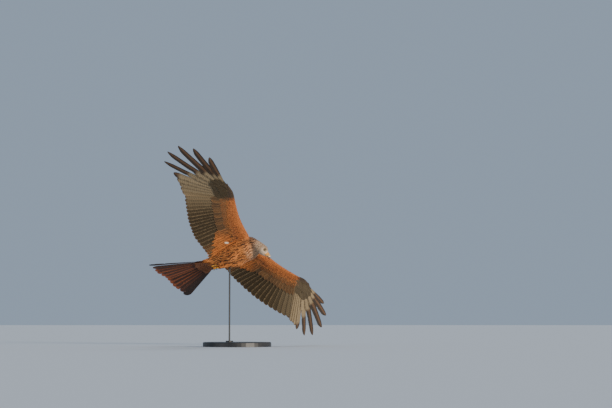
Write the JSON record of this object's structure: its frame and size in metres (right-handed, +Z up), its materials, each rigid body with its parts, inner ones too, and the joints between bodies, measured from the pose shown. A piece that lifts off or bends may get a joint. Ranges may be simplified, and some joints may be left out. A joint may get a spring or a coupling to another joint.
{
  "type": "red kite in gliding flight on a display stand",
  "caption": "Life-size red kite banking in flight with spread fingered wings and fanned forked tail, held by a plain round display stand.",
  "frame": {"origin": "middle of the underside of the stand's round base", "axes": "+Z up. The bird heads towards +X and a little towards -Y, rolled with its right wing high, so that a low viewer on the -Y side sees its underside."},
  "size_m": [0.8892, 1.0894, 0.9082],
  "materials": {
    "rufous_body_feathers": "matt rufous body plumage with dark shaft streaks",
    "pale_grey_head_feathers": "matt pale grey streaked head plumage",
    "barred_flight_feathers": "low-sheen dark brown barred flight feathers with rufous coverts",
    "rufous_tail_feathers": "low-sheen rufous tail feathers with dark corners",
    "yellow_cere_and_feet": "semi-matt yellow scaled skin",
    "dark_horn": "polished dark horn",
    "pale_amber_eye": "wet gloss",
    "stand_satin_black": "satin black paint"
  },
  "bodies": {
    "root": {"cere": "yellow_cere_and_feet", "eye_left": "pale_amber_eye", "eye_right": "pale_amber_eye", "foot_left": "yellow_cere_and_feet", "foot_right": "yellow_cere_and_feet", "head": "pale_grey_head_feathers", "lower_bill": "dark_horn", "neck": "rufous_body_feathers", "stand_base": "stand_satin_black", "stand_rod": "stand_satin_black", "tail": "rufous_tail_feathers", "thigh_left": "rufous_body_feathers", "thigh_right": "rufous_body_feathers", "torso": "rufous_body_feathers", "upper_bill": "dark_horn", "wing_left_arm": "barred_flight_feathers", "wing_left_forearm": "barred_flight_feathers", "wing_left_hand": "barred_flight_feathers", "wing_right_arm": "barred_flight_feathers", "wing_right_forearm": "barred_flight_feathers", "wing_right_hand": "barred_flight_feathers"}
  },
  "joints": []
}
